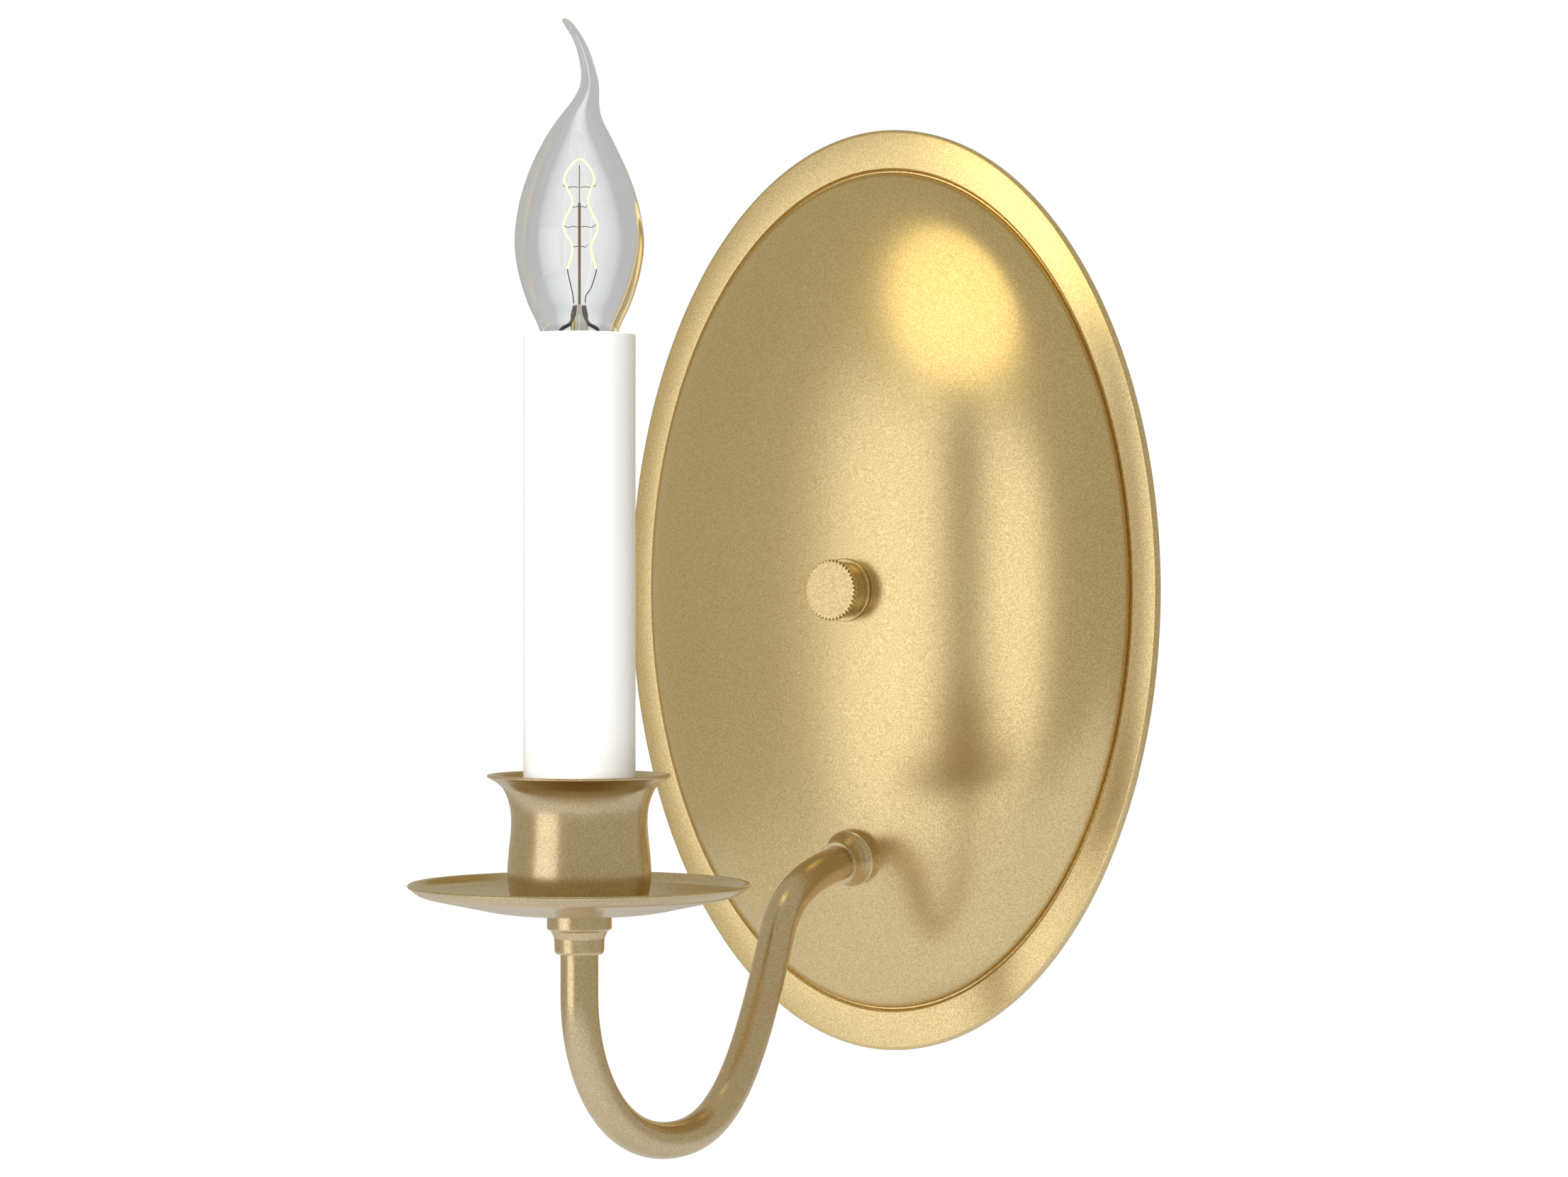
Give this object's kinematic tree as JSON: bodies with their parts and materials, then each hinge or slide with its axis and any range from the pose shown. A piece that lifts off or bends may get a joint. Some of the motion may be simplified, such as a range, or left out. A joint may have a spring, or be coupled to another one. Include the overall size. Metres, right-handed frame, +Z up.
{
  "type": "wall sconce with electric candle",
  "caption": "Brass wall sconce: oval domed backplate, bent arm, drip pan and flared cup carrying a white candle sleeve with a lit flame-tip lamp.",
  "frame": {"origin": "centre of the backplate on the wall plane", "axes": "+Z up, +X to the right when facing the wall, and the sconce stands out of the wall towards -Y"},
  "size_m": [0.139, 0.1436, 0.2292],
  "materials": {
    "satin_brass": "satin, fine sanded grain",
    "plated_steel": "zinc plated",
    "bar_steel": "rolled strip, plated",
    "shell_brass": "bright",
    "green_screw": "green dyed zinc plate",
    "bare_copper": "bare copper",
    "candle_white": "satin white",
    "white_wire": "satin",
    "black_wire": "satin",
    "socket_black": "moulded phenolic",
    "connector_orange": "moulded",
    "lamp_glass": "clear",
    "filament": "glowing tungsten",
    "lamp_metal": "nickel plated"
  },
  "bodies": {
    "fixture": {"backplate": "satin_brass", "mounting_stud": "plated_steel", "stud_lock_nut": "plated_steel", "crossbar": "bar_steel", "ground_screw": "green_screw", "ground_wire": "bare_copper", "ground_lug": "plated_steel", "arm_collar": "satin_brass", "arm_tube": "satin_brass", "arm_lock_washer": "plated_steel", "arm_lock_nut": "plated_steel", "coupling": "satin_brass", "drip_pan": "satin_brass", "candle_cup": "satin_brass", "cup_nipple": "plated_steel", "cup_lock_nut": "plated_steel", "socket_bracket": "plated_steel", "socket_rivet": "plated_steel", "socket_body": "socket_black", "screw_shell": "shell_brass", "centre_contact": "shell_brass", "lead_black": "black_wire", "lead_white": "white_wire", "wire_connector_black": "connector_orange", "wire_connector_white": "connector_orange"},
    "nut_carriage": {"nut_washer": "satin_brass"},
    "thumb_nut": {"thumb_nut": "satin_brass"},
    "sleeve": {"candle_sleeve": "candle_white"},
    "lamp_carriage": {"contact_button": "lamp_metal"},
    "lamp": {"bulb_glass": "lamp_glass", "bulb_cap": "lamp_metal", "cap_insulator": "socket_black", "glass_stem": "lamp_glass", "filament_post": "lamp_glass", "filament_lead_left": "lamp_metal", "filament_lead_right": "lamp_metal", "bulb_filament": "filament"}
  },
  "joints": [
    {"name": "nut_travel", "type": "slide", "parent": "fixture", "child": "nut_carriage", "axis": [0, -1, 0], "range_m": [0, 0.00397]},
    {"name": "nut_turn", "type": "hinge", "parent": "nut_carriage", "child": "thumb_nut", "pos_m": [0, -0.0198, 0], "axis": [0, -1, 0], "range_deg": [0, 1800]},
    {"name": "sleeve_lift", "type": "slide", "parent": "fixture", "child": "sleeve", "axis": [0, 0, 1], "range_m": [0, 0.0045]},
    {"name": "lamp_travel", "type": "slide", "parent": "fixture", "child": "lamp_carriage", "axis": [0, 0, 1], "range_m": [0, 0.00762]},
    {"name": "lamp_turn", "type": "hinge", "parent": "lamp_carriage", "child": "lamp", "pos_m": [0, -0.10968, 0.06], "axis": [0, 0, 1], "range_deg": [0, 1080]}
  ],
  "couplings": [
    {"joint": "nut_travel", "follows": "nut_turn", "m_per_rad": 0.00012633},
    {"joint": "lamp_travel", "follows": "lamp_turn", "m_per_rad": 0.00040425}
  ]
}
